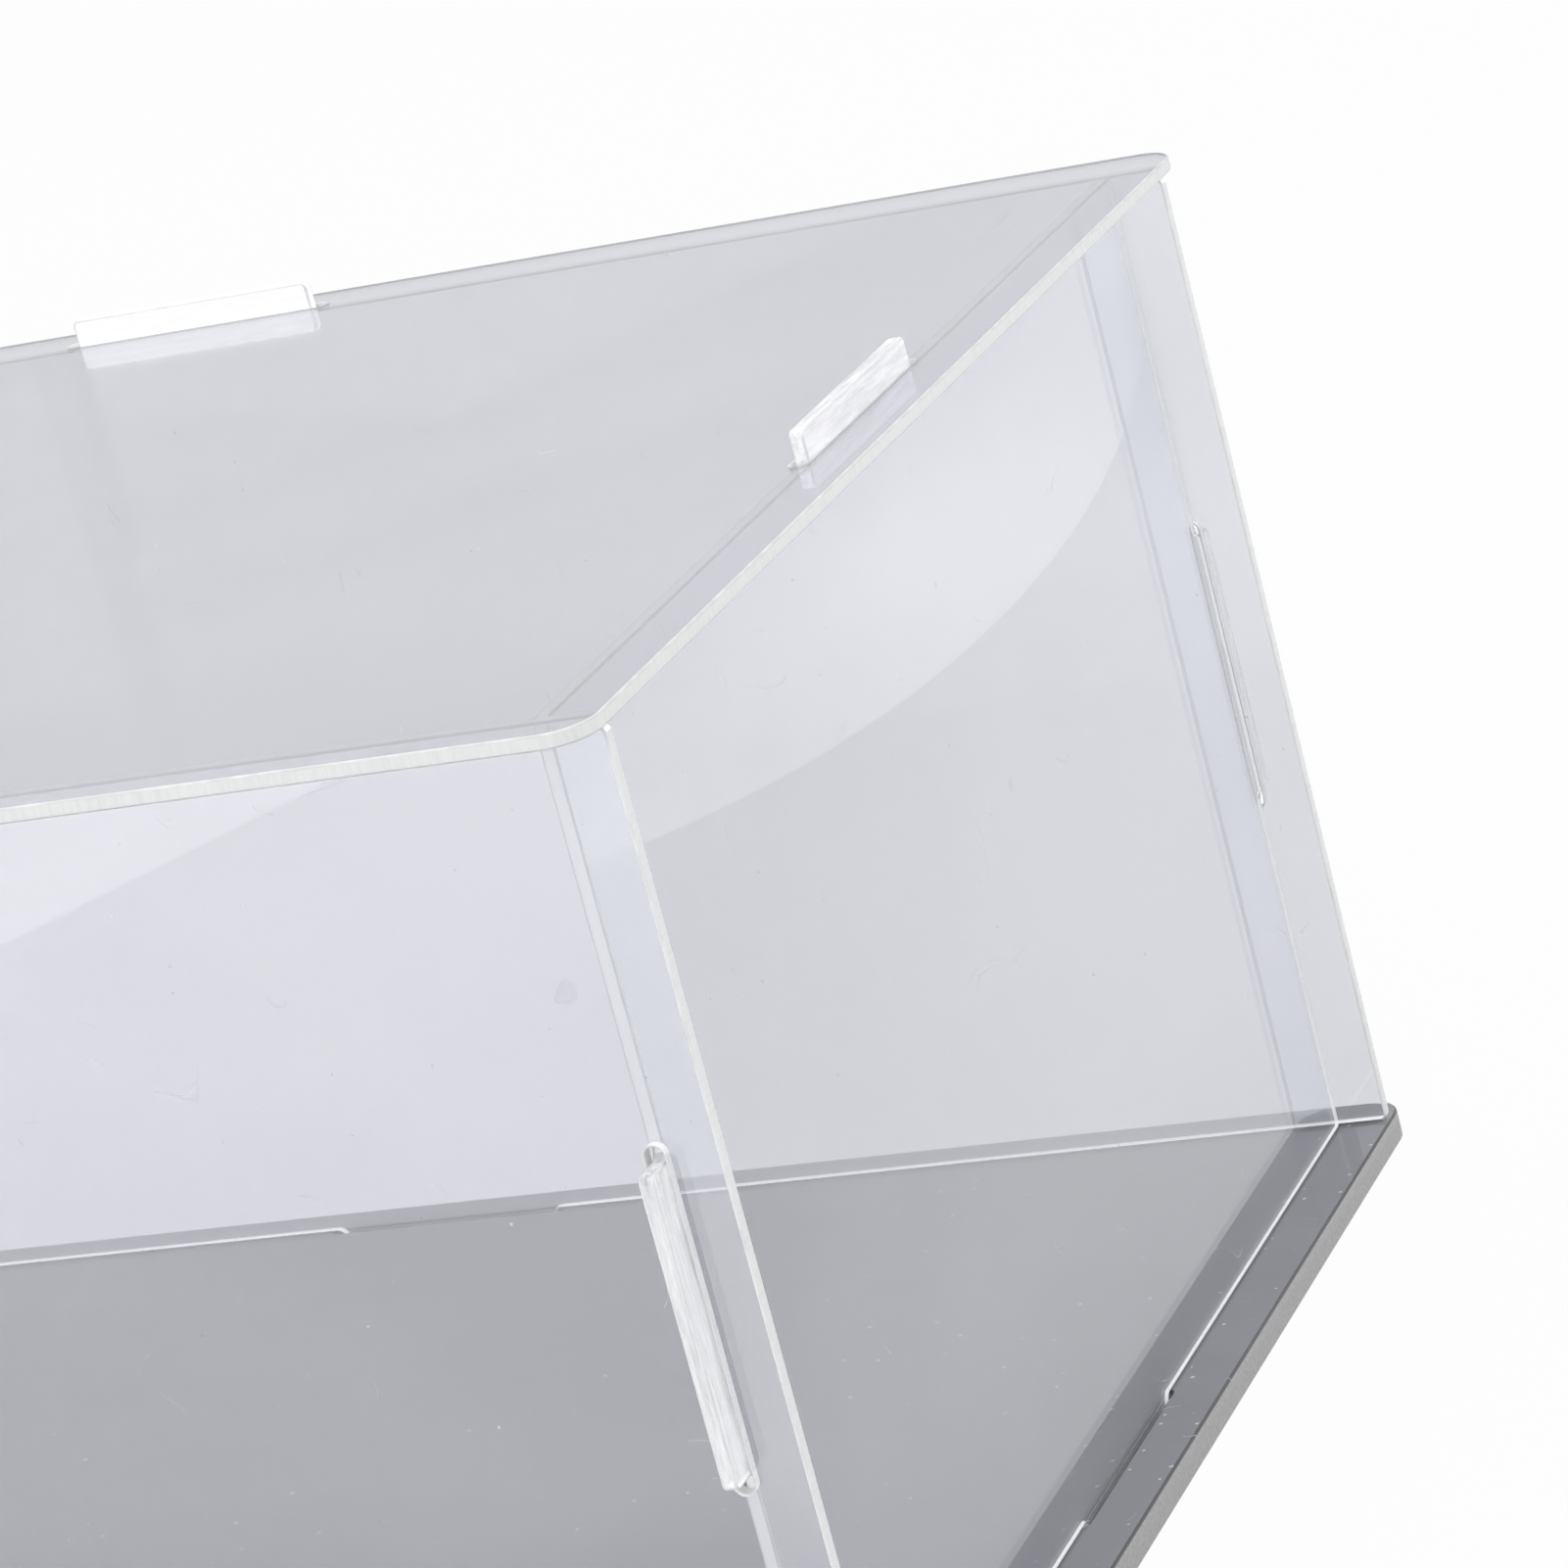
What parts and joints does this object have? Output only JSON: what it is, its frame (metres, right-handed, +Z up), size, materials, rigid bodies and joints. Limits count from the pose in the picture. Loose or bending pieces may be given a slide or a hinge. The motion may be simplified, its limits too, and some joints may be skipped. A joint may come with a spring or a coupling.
{
  "type": "acrylic display case",
  "caption": "Clear flat-pack acrylic display case: tab-and-slot walls stand on a black base under a lift-off clear top, to show an object and keep dust off it.",
  "frame": {"origin": "centre of the base's underside, on the surface that the case stands on", "axes": "+X along the case's width, +Y from the front to the back, +Z up"},
  "size_m": [0.32, 0.243, 0.1605],
  "materials": {
    "clear_acrylic": "clear cast acrylic, polished faces, bright laser-cut edges",
    "black_acrylic": "black acrylic, polished faces, satin cut edges"
  },
  "bodies": {
    "base": {"base_panel": "black_acrylic"},
    "walls": {"front_panel": "clear_acrylic", "back_panel": "clear_acrylic", "left_panel": "clear_acrylic", "right_panel": "clear_acrylic"},
    "lid": {"top_panel": "clear_acrylic"}
  },
  "joints": [
    {"name": "cover_lift", "type": "slide", "parent": "base", "child": "walls", "axis": [0, 0, 1], "range_m": [0, 0.16]},
    {"name": "lid_lift", "type": "slide", "parent": "walls", "child": "lid", "axis": [0, 0, 1], "range_m": [0, 0.06]}
  ]
}
